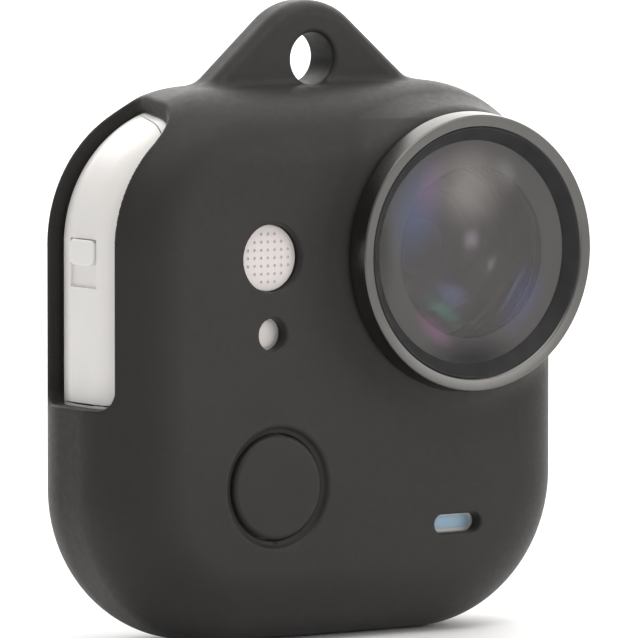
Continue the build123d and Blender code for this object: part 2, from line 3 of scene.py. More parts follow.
import bmesh
import bpy
import numpy as np
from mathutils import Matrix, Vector


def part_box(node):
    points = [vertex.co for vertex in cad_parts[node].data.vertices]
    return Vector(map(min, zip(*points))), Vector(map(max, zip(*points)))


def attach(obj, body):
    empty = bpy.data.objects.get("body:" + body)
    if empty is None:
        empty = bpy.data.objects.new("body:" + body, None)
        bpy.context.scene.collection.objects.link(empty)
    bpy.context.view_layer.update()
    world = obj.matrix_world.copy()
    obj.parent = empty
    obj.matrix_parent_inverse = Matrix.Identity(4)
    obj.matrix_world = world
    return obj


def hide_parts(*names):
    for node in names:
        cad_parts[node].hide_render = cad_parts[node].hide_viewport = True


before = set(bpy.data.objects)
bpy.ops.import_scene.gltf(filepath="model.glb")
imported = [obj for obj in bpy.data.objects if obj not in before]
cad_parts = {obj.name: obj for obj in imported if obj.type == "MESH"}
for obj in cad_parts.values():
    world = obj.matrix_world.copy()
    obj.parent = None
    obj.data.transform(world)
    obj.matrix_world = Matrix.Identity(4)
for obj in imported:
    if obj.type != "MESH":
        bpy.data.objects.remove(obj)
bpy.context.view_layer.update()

MM = 0.001

# ---- Places, in millimetres, worked out from the frame ----


def box_mm(node):
    """Lowest and highest corners of a CAD node, in millimetres."""
    low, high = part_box(node)
    return np.array(low) / MM, np.array(high) / MM


def middle_mm(node):
    low, high = box_mm(node)
    return (low + high) / 2


SLEEVE_LOW, SLEEVE_HIGH = box_mm("silicone_sleeve")
RING_LOW, RING_HIGH = box_mm("guard_ring")
GLASS_LOW, GLASS_HIGH = box_mm("guard_glass")
PAD_LOW, PAD_HIGH = box_mm("button_pad")

MOUND = 0.75                            # how far the sleeve stands forward round the lens
SIDE = SLEEVE_HIGH[0] - SLEEVE_LOW[0]
FRONT = SLEEVE_LOW[1] + MOUND
DEPTH = SLEEVE_HIGH[1] - FRONT
MID = np.array([0.0, FRONT + DEPTH / 2, SIDE / 2])
WALL = 1.5
CORNER = 14.0
EDGE = 7.0
LENS = middle_mm("guard_ring")
RING_RADIUS = (RING_HIGH[0] - RING_LOW[0]) / 2
PAD = middle_mm("button_pad")
PAD_RADIUS = (PAD_HIGH[0] - PAD_LOW[0]) / 2
SEAL_WALL = 0.15
SPEAKER = middle_mm("speaker_grille")
LIGHT = middle_mm("indicator_window")
STATUS = middle_mm("status_window")


# ---- Distance fields: each takes points (N, 3) in millimetres and gives the distance to a surface ----


def join(a, b, blend=0.0):
    """Union of two solids, with a fillet about as wide as blend."""
    if np.ndim(blend) == 0 and blend == 0.0:
        return np.minimum(a, b)
    h = np.maximum(blend - np.abs(a - b), 0.0) / blend
    return np.minimum(a, b) - h * h * blend / 4


def cut(a, b, blend=0.0):
    """Solid a with b taken out of it, its new edge rounded over."""
    return -join(-a, b, blend)


def overlap(a, b, blend=0.0):
    return -join(-a, -b, blend)


def rounded_square(u, v, half, corner, half_v=None):
    """Distance in a plane to a rectangle with round corners."""
    du = np.abs(u) - (half - corner)
    dv = np.abs(v) - ((half if half_v is None else half_v) - corner)
    outside = np.hypot(np.maximum(du, 0), np.maximum(dv, 0))
    return outside + np.minimum(np.maximum(du, dv), 0) - corner


def drawn_out(flat, along, half, roll):
    """Solid of a flat outline, drawn out half each way, its edges rolled over."""
    a = flat + roll
    b = np.abs(along) - half + roll
    return np.hypot(np.maximum(a, 0), np.maximum(b, 0)) + np.minimum(np.maximum(a, b), 0) - roll


def slab(p, side, depth, corner, edge):
    return drawn_out(rounded_square(p[:, 0], p[:, 2], side / 2, corner), p[:, 1], depth / 2, edge)


LUG_HOLE_Z, LUG_HOLE_RADIUS, LUG_THICKNESS = 27.25, 2.35, 4.2
LUG_TIP_Z, LUG_TIP_RADIUS, LUG_FLANK = 25.9, 6.6, math.radians(49)


def lug_field(p):
    """Rounded triangle, its flanks flared at the foot and its edges broadly rolled over."""
    x, z = np.abs(p[:, 0]), p[:, 2] - LUG_TIP_Z
    flank = x * math.cos(LUG_FLANK) + z * math.sin(LUG_FLANK) - LUG_TIP_RADIUS
    on_tip = z * math.cos(LUG_FLANK) > x * math.sin(LUG_FLANK)
    outline = np.where(on_tip, np.hypot(x, z) - LUG_TIP_RADIUS, flank)
    outline = join(outline, p[:, 2] - (SIDE / 2 - 1.0), 1.6)
    outline = overlap(outline, x - 12.2)
    return drawn_out(np.maximum(outline, 15.0 - p[:, 2]), p[:, 1], LUG_THICKNESS / 2, 1.45)


SLOT_FRONT, SLOT_BACK, SLOT_BOTTOM = -5.3, 5.0, -3.2
SLOT_END_FRONT, SLOT_END_BACK = -17.1, -15.0
SLOT_CORNER, SLOT_END_ROUND = 1.6, 2.6


def side_window_field(p):
    """The long cut-out up the left side and over the corner, its end a little aslant."""
    above = 40.0
    y, z = p[:, 1] - (SLOT_FRONT + SLOT_BACK) / 2, p[:, 2] - (SLOT_BOTTOM + above) / 2
    side = rounded_square(y, z, (SLOT_BACK - SLOT_FRONT) / 2, SLOT_CORNER, (above - SLOT_BOTTOM) / 2)
    slope = (SLOT_END_BACK - SLOT_END_FRONT) / (SLOT_BACK - SLOT_FRONT)
    end = (p[:, 0] - SLOT_END_FRONT - slope * (p[:, 1] - SLOT_FRONT)) / math.hypot(1, slope)
    return overlap(side, end, SLOT_END_ROUND)


def lens_distance(p):
    return np.hypot(p[:, 0] - (LENS[0] - MID[0]), p[:, 2] - (LENS[2] - MID[2]))


LIP_RADIUS = 11.75                      # the sleeve's opening round the lens
SHOULDER_RADIUS, SHOULDER_FLARE, SHOULDER_ROLL, SHOULDER_FILLET = 12.9, 0.1, 1.7, 3.0
SPEAKER_HOLE, LIGHT_HOLE, PAD_GAP = 3.09, 1.45, 0.06
PILL_HALF_WIDTH, PILL_HALF_HEIGHT = 2.5, 0.85
GROOVE_RADIUS, GROOVE_HALF_WIDTH, GROOVE_DEPTH = 5.0, 0.42, 0.5
REAR_HALF, REAR_CORNER = 18.5, 7.5      # the sleeve's opening at the back


def sleeve_field(points):
    """The silicone sleeve: skin, lens shoulder and lug, less all its openings."""
    p = points - MID
    x, y, z = p[:, 0], p[:, 1], p[:, 2]
    skin_front = -DEPTH / 2
    field = slab(p, SIDE, DEPTH, CORNER, EDGE)
    lens = lens_distance(p)
    flare = SHOULDER_FLARE * (y - skin_front + MOUND)
    shoulder = (lens - SHOULDER_RADIUS - flare) / math.hypot(1, SHOULDER_FLARE)
    shoulder = overlap(overlap(shoulder, skin_front - MOUND - y, SHOULDER_ROLL), y + 1.0)
    wall = rounded_square(x, z, SIDE / 2, CORNER)
    field = overlap(join(field, shoulder, np.clip(-wall, 0.5, SHOULDER_FILLET)), wall)
    field = join(field, lug_field(p), 0.7)
    field = cut(field, slab(p, SIDE - 2 * WALL, DEPTH - 2 * WALL, CORNER - WALL, EDGE - WALL))
    field = cut(field, np.maximum(lens - LIP_RADIUS, y), 0.2)
    field = cut(field, np.hypot(x, z - LUG_HOLE_Z) - LUG_HOLE_RADIUS, 0.5)
    for place, radius in ((SPEAKER, SPEAKER_HOLE), (LIGHT, LIGHT_HOLE), (PAD, PAD_RADIUS + PAD_GAP)):
        hole = np.hypot(x - place[0], z + MID[2] - place[2]) - radius
        field = cut(field, np.maximum(hole, y), 0.3)
    pill = rounded_square(x - STATUS[0], z + MID[2] - STATUS[2], PILL_HALF_WIDTH, PILL_HALF_HEIGHT,
                          PILL_HALF_HEIGHT)
    field = cut(field, np.maximum(pill, y), 0.3)
    groove = np.abs(np.hypot(x - PAD[0], z + MID[2] - PAD[2]) - GROOVE_RADIUS) - GROOVE_HALF_WIDTH
    groove = overlap(groove, y - skin_front - GROOVE_DEPTH, 0.5)
    field = cut(field, groove, 0.35)
    field = cut(field, side_window_field(p), 0.35)
    opening = rounded_square(x, z, REAR_HALF, REAR_CORNER)
    return cut(field, np.maximum(opening, -y), 0.9)


# ---- Meshes ----


def mesh_object(name, points, faces):
    """A smooth-shaded mesh object from points in millimetres."""
    mesh = bpy.data.meshes.new(name)
    mesh.from_pydata((np.asarray(points) * MM).tolist(), [], [list(f) for f in faces])
    mesh.validate()
    mesh.shade_smooth()
    obj = bpy.data.objects.new(name, mesh)
    bpy.context.scene.collection.objects.link(obj)
    return obj


def surface_net(field, low, high, step):
    """Quad mesh of a field's zero surface: one point in each grid cell that it crosses."""
    axes = [np.arange(a - 2 * step, b + 3 * step, step) for a, b in zip(low, high)]
    shape = tuple(len(a) for a in axes)
    values = np.empty(shape)
    for i, x in enumerate(axes[0]):
        y, z = np.meshgrid(axes[1], axes[2], indexing="ij")
        values[i] = field(np.column_stack([np.full(y.size, x), y.ravel(), z.ravel()])).reshape(y.shape)
    inside = values < 0
    cells = tuple(n - 1 for n in shape)
    total, count = np.zeros(cells + (3,)), np.zeros(cells)
    corners = [(i, j, k) for i in (0, 1) for j in (0, 1) for k in (0, 1)]

    def at(grid, c):
        return grid[c[0]:c[0] + cells[0], c[1]:c[1] + cells[1], c[2]:c[2] + cells[2]]

    for a in corners:
        for axis in range(3):
            if a[axis]:
                continue
            b = tuple(1 if n == axis else a[n] for n in range(3))
            crosses = at(inside, a) != at(inside, b)
            va, vb = at(values, a)[crosses], at(values, b)[crosses]
            spot = np.tile(np.array(a, float), (len(va), 1))
            spot[:, axis] += va / (va - vb)
            total[crosses] += spot
            count[crosses] += 1
    used = count > 0
    number = np.full(cells, -1)
    number[used] = np.arange(used.sum())
    corner = np.argwhere(used)
    origin = np.array([a[0] for a in axes])
    points = origin + step * (corner + total[used] / count[used][:, None])
    faces = []
    for axis in range(3):
        u, v = [n for n in range(3) if n != axis]
        first = [slice(1, n - 1) for n in shape]
        first[axis] = slice(0, shape[axis] - 1)
        second = list(first)
        second[axis] = slice(1, shape[axis])
        start, end = inside[tuple(first)], inside[tuple(second)]
        place = np.argwhere(start != end)
        place[:, u] += 1
        place[:, v] += 1
        outward = start[start != end]
        ring = []
        for du, dv in ((-1, -1), (0, -1), (0, 0), (-1, 0)):
            cell = place.copy()
            cell[:, u] += du
            cell[:, v] += dv
            ring.append(number[cell[:, 0], cell[:, 1], cell[:, 2]])
        quads = np.column_stack(ring)
        flip = outward if axis == 1 else ~outward
        quads[flip] = quads[flip][:, ::-1]
        faces.append(quads)
    return points, np.vstack(faces)


def slope_of(field, points, reach=0.02):
    """Gradient of a field by central differences."""
    columns = []
    for axis in range(3):
        step = np.zeros(3)
        step[axis] = reach
        columns.append((field(points + step) - field(points - step)) / (2 * reach))
    return np.column_stack(columns)


def settle(field, points, times=3):
    """Points moved onto the field's zero surface."""
    for _ in range(times):
        slope = slope_of(field, points)
        size = np.maximum((slope * slope).sum(axis=1), 0.25)
        points = points - slope * np.clip(field(points) / size, -0.2, 0.2)[:, None]
    return points


def field_object(name, field, low, high, step, keep=1.0):
    """Mesh of a field, thinned where it is flat, with its own exact shading normals."""
    points, faces = surface_net(field, low, high, step)
    obj = mesh_object(name, settle(field, points), faces)
    if keep < 1.0:
        thin = obj.modifiers.new("thin", "DECIMATE")
        thin.ratio = keep
        obj.data = applied_mesh(obj)
        obj.modifiers.clear()
    points = np.empty(len(obj.data.vertices) * 3)
    obj.data.vertices.foreach_get("co", points)
    points = settle(field, points.reshape(-1, 3) / MM)
    obj.data.vertices.foreach_set("co", (points * MM).ravel())
    obj.data.shade_smooth()
    normals = slope_of(field, points, 0.05)
    normals /= np.maximum(np.linalg.norm(normals, axis=1), 1e-6)[:, None]
    obj.data.normals_split_custom_set_from_vertices(normals.tolist())
    return obj


def applied_mesh(obj):
    """The mesh of an object with its modifiers applied."""
    graph = bpy.context.evaluated_depsgraph_get()
    return bpy.data.meshes.new_from_object(obj.evaluated_get(graph))


LATHE_SEGMENTS, LATHE_SHARP_DEGREES = 192, 35


def lathe(name, profile, centre):
    """Closed ring or disc turned about a Y axis through centre, from (radius, depth) points."""
    points, faces, rows = [], [], []
    for radius, depth in profile:
        if radius < 1e-6:
            rows.append([len(points)] * LATHE_SEGMENTS)
            points.append((centre[0], depth, centre[2]))
            continue
        rows.append(list(range(len(points), len(points) + LATHE_SEGMENTS)))
        for n in range(LATHE_SEGMENTS):
            turn = 2 * math.pi * n / LATHE_SEGMENTS
            points.append((centre[0] + radius * math.cos(turn), depth, centre[2] + radius * math.sin(turn)))
    for a, b in zip(rows, rows[1:] + rows[:1]):
        for n in range(LATHE_SEGMENTS):
            m = (n + 1) % LATHE_SEGMENTS
            face = list(dict.fromkeys((a[n], b[n], b[m], a[m])))
            if len(face) > 2:
                faces.append(face)
    obj = mesh_object(name, points, faces)
    turn_outwards(obj)
    obj.data.set_sharp_from_angle(angle=math.radians(LATHE_SHARP_DEGREES))
    return obj


def turn_outwards(obj):
    """Makes every face of a closed mesh point out."""
    work = bmesh.new()
    work.from_mesh(obj.data)
    bmesh.ops.recalc_face_normals(work, faces=work.faces)
    work.to_mesh(obj.data)
    work.free()


def eased(profile, radius, steps=3):
    """A closed profile with its corners rounded, each by at most a third of its shorter side."""
    rounded = []
    for n, corner in enumerate(profile):
        here = Vector(corner)
        before, after = Vector(profile[n - 1]), Vector(profile[(n + 1) % len(profile)])
        into, out = before - here, after - here
        straight = abs(into.normalized().dot(out.normalized())) > 0.999
        on_axis = corner[0] < 1e-6
        if straight or on_axis:
            rounded.append(tuple(here))
            continue
        reach = min(radius, into.length / 3, out.length / 3)
        start, end = here + into.normalized() * reach, here + out.normalized() * reach
        for k in range(steps + 1):
            t = k / steps
            rounded.append(tuple(start * (1 - t) ** 2 + here * 2 * t * (1 - t) + end * t * t))
    return rounded


def arc(centre_depth, radius, rim, steps=24):
    """Profile points on the front of a sphere centred on the axis, from the axis out to its rim."""
    reach = [rim * k / steps for k in range(steps + 1)]
    return [(r, centre_depth - math.sqrt(radius * radius - r * r)) for r in reach]


# ---- Materials ----


class Paint:
    """A Principled material with a few short ways to add nodes to it."""

    def __init__(self, name, **values):
        self.material = bpy.data.materials.new(name)
        self.material.use_nodes = True
        self.tree = self.material.node_tree
        self.shader = self.tree.nodes["Principled BSDF"]
        for key, value in values.items():
            self.shader.inputs[key.replace("_", " ")].default_value = value
        self.place = self.node("ShaderNodeTexCoord").outputs["Object"]

    def node(self, kind, **settings):
        made = self.tree.nodes.new(kind)
        for key, value in settings.items():
            setattr(made, key, value)
        return made

    def link(self, source, target):
        self.tree.links.new(source, target)
        return source

    def noise(self, size_mm, detail=3.0, roughness=0.5, stretch=None):
        """Noise with features about this size."""
        made = self.node("ShaderNodeTexNoise")
        made.inputs["Scale"].default_value = 1.0 / (size_mm * MM)
        made.inputs["Detail"].default_value = detail
        made.inputs["Roughness"].default_value = roughness
        place = self.place
        if stretch:
            mapping = self.node("ShaderNodeMapping")
            mapping.inputs["Scale"].default_value = stretch
            self.link(place, mapping.inputs["Vector"])
            place = mapping.outputs["Vector"]
        self.link(place, made.inputs["Vector"])
        return made.outputs["Fac"]

    def math(self, operation, *values):
        made = self.node("ShaderNodeMath", operation=operation)
        for n, value in enumerate(values):
            if isinstance(value, (int, float)):
                made.inputs[n].default_value = value
            else:
                self.link(value, made.inputs[n])
        return made.outputs["Value"]

    def spread(self, value, low, high, start=0.0, end=1.0):
        """Value between start and end, stretched to run from low to high."""
        made = self.node("ShaderNodeMapRange")
        self.link(value, made.inputs["Value"])
        for key, number in (("From Min", start), ("From Max", end), ("To Min", low), ("To Max", high)):
            made.inputs[key].default_value = number
        return made.outputs["Result"]

    def colours(self, value, *stops):
        """Colour ramp from (position, colour) stops."""
        made = self.node("ShaderNodeValToRGB")
        ramp = made.color_ramp.elements
        while len(ramp) < len(stops):
            ramp.new(0.5)
        for element, (position, colour) in zip(ramp, stops):
            element.position = position
            element.color = (*colour, 1.0)
        self.link(value, made.inputs["Fac"])
        return made.outputs["Color"]

    def bump(self, *heights):
        """Bumps from (height, depth in mm) pairs, chained."""
        normal = None
        for height, depth_mm in heights:
            made = self.node("ShaderNodeBump")
            made.inputs["Distance"].default_value = depth_mm * MM
            self.link(height, made.inputs["Height"])
            if normal is not None:
                self.link(normal, made.inputs["Normal"])
            normal = made.outputs["Normal"]
        self.link(normal, self.shader.inputs["Normal"])

    def feed(self, key, source):
        self.link(source, self.shader.inputs[key])

    def distance_from(self, centre_mm):
        """Distance from a Y axis through a point, in metres."""
        shifted = self.node("ShaderNodeVectorMath", operation="SUBTRACT")
        self.link(self.place, shifted.inputs[0])
        shifted.inputs[1].default_value = tuple(np.array(centre_mm) * MM)
        flat = self.node("ShaderNodeVectorMath", operation="MULTIPLY")
        self.link(shifted.outputs["Vector"], flat.inputs[0])
        flat.inputs[1].default_value = (1, 0, 1)
        length = self.node("ShaderNodeVectorMath", operation="LENGTH")
        self.link(flat.outputs["Vector"], length.inputs[0])
        return length.outputs["Value"]

    def tone_with_painted_reflections(self, base, amount, painted_reflections):
        """Base colour and amount, with a random tone, and soft ovals of painted reflection and painted shade
        laid over them in turn.

        Each painted reflection or painted shade is (centre in mm, half width and half height in mm, turn in
        degrees, colour, strength).
        """
        ground = self.noise(7.0, 2.0)
        colour = self.colours(ground, (0.3, base), (0.7, tuple(c * 1.06 for c in base)))
        share = self.spread(ground, amount * 0.92, amount * 1.08, 0.3, 0.7)
        # Each oval lays a painted reflection or painted shade over the colour.
        for (x, z), (width, height), turn, tint, strength in painted_reflections:
            place = self.node("ShaderNodeMapping", vector_type="TEXTURE")
            place.inputs["Location"].default_value = tuple((LENS + (x, 0, z)) * MM)
            place.inputs["Rotation"].default_value = (0, math.radians(turn), 0)
            place.inputs["Scale"].default_value = (width * MM, 1.0, height * MM)
            self.link(self.place, place.inputs["Vector"])
            oval = self.node("ShaderNodeTexGradient", gradient_type="SPHERICAL")
            self.link(place.outputs["Vector"], oval.inputs["Vector"])
            soft = self.node("ShaderNodeMapRange", interpolation_type="SMOOTHSTEP")
            self.link(oval.outputs["Fac"], soft.inputs["Value"])
            soft.inputs["To Max"].default_value = strength
            blend = self.node("ShaderNodeMix", data_type="RGBA")
            self.link(soft.outputs["Result"], blend.inputs[0])
            self.link(colour, blend.inputs[6])
            blend.inputs[7].default_value = (*tint, 1)
            colour = blend.outputs[2]
        return colour, share


def silicone():
    """Soft matte moulded silicone: near black, a little warm, with a fine moulded skin."""
    paint = Paint("silicone", Specular_IOR_Level=0.33, Sheen_Weight=0.08, Sheen_Roughness=0.4)
    broad, fine = paint.noise(9.0, 2.0), paint.noise(0.16, 4.0, 0.6)
    paint.feed("Base Color", paint.colours(
        broad, (0.3, (0.0140, 0.0126, 0.0114)), (0.7, (0.0172, 0.0156, 0.0142))))
    paint.feed("Roughness", paint.spread(paint.noise(0.6, 5.0), 0.50, 0.60, 0.3, 0.7))
    paint.bump((fine, 0.006), (paint.noise(0.05, 2.0), 0.003))
    return paint.material


def white_plastic(name="white_plastic", tone=(0.77, 0.755, 0.735)):
    """Satin white moulding, slightly translucent, with the faint orange peel of a polished tool."""
    paint = Paint(name, Subsurface_Weight=0.12, Subsurface_Scale=0.0012, Coat_Weight=0.25,
                  Coat_Roughness=0.22)
    paint.shader.inputs["Subsurface Radius"].default_value = (1.0, 0.85, 0.7)
    darker = tuple(c * 0.965 for c in tone)
    paint.feed("Base Color", paint.colours(paint.noise(6.0, 2.0), (0.3, darker), (0.7, tone)))
    paint.feed("Roughness", paint.spread(paint.noise(0.5, 4.0), 0.30, 0.40, 0.3, 0.7))
    paint.bump((paint.noise(0.35, 2.0), 0.004), (paint.noise(0.07, 2.0), 0.0015))
    return paint.material


def turned_metal(name, tone, centre, roughness=0.3):
    """Anodised aluminium with fine turning marks round an axis."""
    paint = Paint(name, Metallic=1.0, Anisotropic=0.12)
    radius = paint.distance_from(centre)
    marks = paint.math("SINE", paint.math("MULTIPLY", radius, 2 * math.pi / (0.055 * MM)))
    wobble = paint.noise(0.12, 4.0, 0.7, stretch=(1, 0.15, 1))
    lighter = tuple(min(1.0, c * 1.06) for c in tone)
    paint.feed("Base Color", paint.colours(paint.noise(2.5, 4.0), (0.35, tone), (0.7, lighter)))
    paint.feed("Roughness", paint.spread(wobble, roughness - 0.01, roughness + 0.03, 0.3, 0.7))
    paint.bump((marks, 0.0004))
    return paint.material


def black_plastic(name="black_plastic", tone=0.018, roughness=0.5, grain=0.005, gloss=0.4):
    """Matt black moulding with a fine spark-eroded texture, its grain this deep in mm."""
    paint = Paint(name, Specular_IOR_Level=gloss)
    tones = [(tone * k, tone * k, tone * k * 1.02) for k in (0.85, 1.25)]
    paint.feed("Base Color", paint.colours(paint.noise(1.6, 2.0), (0.35, tones[0]), (0.7, tones[1])))
    paint.feed("Roughness", paint.spread(paint.noise(0.8, 2.0), roughness - 0.06, roughness + 0.06, 0.3, 0.7))
    if grain:
        paint.bump((paint.noise(0.09, 3.0), grain))
    return paint.material


def satin_baffle_painted_reflections():
    """Dark satin ring under the cover glass, with the lens's painted reflections and painted shade carried
    across it at half their colour.
    """
    paint = Paint("satin_baffle_painted_reflections", Specular_IOR_Level=0.22)
    dimmed_painted_reflections = [(*painted_reflection[:3], tuple(0.5 * c for c in painted_reflection[3]), painted_reflection[4]) for painted_reflection in LENS_PAINTED_REFLECTIONS]
    colour, share = paint.tone_with_painted_reflections((0.088, 0.083, 0.084), 0.16, dimmed_painted_reflections)
    paint.feed("Base Color", colour)
    paint.feed("Roughness", share)
    return paint.material


def rubber():
    """Black rubber of the gaskets and seals."""
    paint = Paint("gasket_rubber", Specular_IOR_Level=0.35)
    tones = [(0.012 * k,) * 3 for k in (0.8, 1.3)]
    paint.feed("Base Color", paint.colours(paint.noise(0.8, 3.0), (0.3, tones[0]), (0.7, tones[1])))
    paint.feed("Roughness", paint.spread(paint.noise(0.3, 3.0), 0.55, 0.7, 0.3, 0.7))
    paint.bump((paint.noise(0.12, 3.0), 0.006))
    return paint.material


# Painted reflections and painted shade on the lens coating: soft ovals standing in for the lamps'
# reflections, coloured coating flares, a centre highlight and a darker bottom. Columns: centre from the lens
# axis, half sizes, clockwise turn, colour, strength
LENS_PAINTED_REFLECTIONS = [
    ((-9.9, 0.2), (1.8, 7.5), 0, (0.084, 0.0882, 0.0756), 0.8),
    ((0.0, -9.8), (8.5, 3.2), 0, (0.0252, 0.0252, 0.0252), 0.9),
    ((-6.0, 4.0), (3.6, 6.2), 15, (0.202, 0.235, 0.353), 0.9),
    ((-4.5, 5.9), (2.0, 3.8), 20, (0.353, 0.26, 0.386), 0.8),
    ((-0.3, 5.9), (5.0, 4.6), 12, (0.44, 0.42, 0.405), 1.0),
    ((3.7, 6.9), (1.7, 2.2), -30, (0.328, 0.319, 0.311), 0.9),
    ((0.0, 1.1), (1.3, 1.4), 30, (0.42, 0.386, 0.42), 1.0),
    ((2.2, -1.2), (0.55, 1.2), 35, (0.357, 0.336, 0.336), 0.9),
    ((-2.2, -3.7), (2.7, 1.5), 28, (0.26, 0.277, 0.40), 0.85),
    ((-3.1, -5.1), (3.6, 1.1), 35, (0.21, 0.36, 0.31), 0.72),
    ((-4.1, -6.9), (3.2, 1.2), 38, (0.36, 0.205, 0.34), 0.68),
    ((5.8, -4.6), (2.2, 4.6), 35, (0.193, 0.202, 0.32), 0.75),
    ((4.6, -3.6), (0.35, 4.2), 35, (0.26, 0.277, 0.399), 0.8),
]


def see_through(name, tint, gloss_tint, ior=1.5, smudge=0.03, haze=0.0, painted_reflections=()):
    """Thin coated glass: mostly clear, with a mirror-like reflection that grows towards the edge.

    Haze is the share that a pale film scatters; the last argument lays soft ovals of painted reflection and
    painted shade on that film.
    """
    paint = Paint(name)
    tree = paint.tree
    tree.nodes.remove(paint.shader)
    clear = paint.node("ShaderNodeBsdfTransparent")
    clear.inputs["Color"].default_value = (*tint, 1)
    gloss = paint.node("ShaderNodeBsdfGlossy")
    gloss.inputs["Color"].default_value = (*gloss_tint, 1)
    paint.link(paint.spread(paint.noise(3.0, 5.0), 0.0, smudge, 0.4, 0.75), gloss.inputs["Roughness"])
    facing = paint.node("ShaderNodeLayerWeight")
    facing.inputs["Blend"].default_value = 0.5
    head_on = ((ior - 1) / (ior + 1)) ** 2
    rise = paint.math("POWER", facing.outputs["Facing"], 5.0)
    mix = paint.node("ShaderNodeMixShader")
    paint.link(paint.math("ADD", paint.math("MULTIPLY", rise, 1 - head_on), head_on), mix.inputs["Fac"])
    paint.link(clear.outputs["BSDF"], mix.inputs[1])
    paint.link(gloss.outputs["BSDF"], mix.inputs[2])
    result = mix.outputs["Shader"]
    if haze:
        colour, amount = paint.tone_with_painted_reflections((0.178, 0.168, 0.170), haze, painted_reflections)
        film = paint.node("ShaderNodeBsdfDiffuse")
        paint.link(colour, film.inputs["Color"])
        veiled = paint.node("ShaderNodeMixShader")
        paint.link(amount, veiled.inputs["Fac"])
        paint.link(result, veiled.inputs[1])
        paint.link(film.outputs["BSDF"], veiled.inputs[2])
        result = veiled.outputs["Shader"]
    paint.link(result, tree.nodes["Material Output"].inputs["Surface"])
    return paint.material


def plain_metal(name, tone, roughness=0.35):
    """Stamped or turned metal with rolling marks."""
    paint = Paint(name, Metallic=1.0)
    lines = paint.noise(0.15, 4.0, 0.6, stretch=(0.08, 1, 1))
    darker = tuple(c * 0.85 for c in tone)
    paint.feed("Base Color", paint.colours(paint.noise(1.5, 4.0), (0.3, darker), (0.7, tone)))
    paint.feed("Roughness", paint.spread(lines, roughness - 0.07, roughness + 0.1, 0.3, 0.7))
    paint.bump((lines, 0.002))
    return paint.material


def circuit_board():
    """Green solder mask over a pattern of tracks."""
    paint = Paint("circuit_board", Coat_Weight=0.4, Coat_Roughness=0.2)
    tracks = paint.node("ShaderNodeTexBrick")
    tracks.inputs["Scale"].default_value = 900.0
    tracks.inputs["Mortar Size"].default_value = 0.12
    paint.link(paint.place, tracks.inputs["Vector"])
    paint.feed("Base Color", paint.colours(
        tracks.outputs["Fac"], (0.2, (0.012, 0.10, 0.045)), (0.8, (0.03, 0.19, 0.09))))
    paint.feed("Roughness", paint.spread(paint.noise(0.8, 3.0), 0.3, 0.45, 0.3, 0.7))
    paint.bump((tracks.outputs["Fac"], 0.02))
    return paint.material


def small_part(name, tone, roughness=0.4, metallic=0.0, spots_mm=0.6, variation=0.15):
    """General moulded, plated or wrapped surface for the small parts, with its own mottling."""
    paint = Paint(name, Metallic=metallic)
    low, high = (tuple(c * k for c in tone) for k in (1 - variation, 1 + variation))
    paint.feed("Base Color", paint.colours(paint.noise(spots_mm, 4.0), (0.3, low), (0.7, high)))
    paint.feed("Roughness", paint.spread(paint.noise(0.3, 3.0), roughness - 0.06, roughness + 0.06, 0.3, 0.7))
    paint.bump((paint.noise(0.2, 3.0), 0.006))
    return paint.material


# ---- Pieces ----


def piece(obj, body, material, slot, *replaced):
    """Finishes a new piece: its material, the body it rides on, and the CAD nodes it stands for."""
    obj.data.materials.clear()
    obj.data.materials.append(material)
    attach(obj, body)
    if replaced:
        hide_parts(*replaced)


SILICONE = silicone()
WHITE = white_plastic()
BLACK = black_plastic()
BARREL_BLACK = black_plastic("barrel_black", 0.014, 0.42, 0)
RUBBER = rubber()


def make_sleeve():
    """The sleeve from its field, and the rolled lip of its lens opening, turned on a lathe."""
    step, keep = ((0.22, 0.26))
    sleeve = field_object("sleeve_skin", sleeve_field, SLEEVE_LOW, SLEEVE_HIGH, step, keep)
    piece(sleeve, "camera", SILICONE, "silicone", "silicone_sleeve")
    edge, inner, outer, foot = FRONT - MOUND, 11.36, 12.0, 2.0
    lip = [(inner, edge + foot), (inner, edge + 0.12), (11.7, edge + 0.12), (outer, edge + 0.45),
           (outer, edge + foot)]
    piece(lathe("sleeve_lip", eased(lip, 0.3, 6), LENS), "camera", SILICONE, "silicone")


def make_pad():
    """The pad inside the groove, its rim rolled over, very slightly dished for the finger."""
    face, back = PAD_LOW[1], PAD_HIGH[1]
    dish_radius, dish_depth, roll = 4.2, 0.12, 0.42
    dish = [(r, face + dish_depth * (1 - (r / dish_radius) ** 2) ** 2)
            for r in np.linspace(0, dish_radius, 16)]
    rim = [(PAD_RADIUS - roll + roll * math.sin(t), face + roll - roll * math.cos(t))
           for t in np.linspace(0, math.pi / 2, 9)]
    pad = lathe("shutter_pad", dish + rim + [(PAD_RADIUS, back), (0, back)], PAD)
    piece(pad, "shutter_button", SILICONE, "silicone", "button_pad")


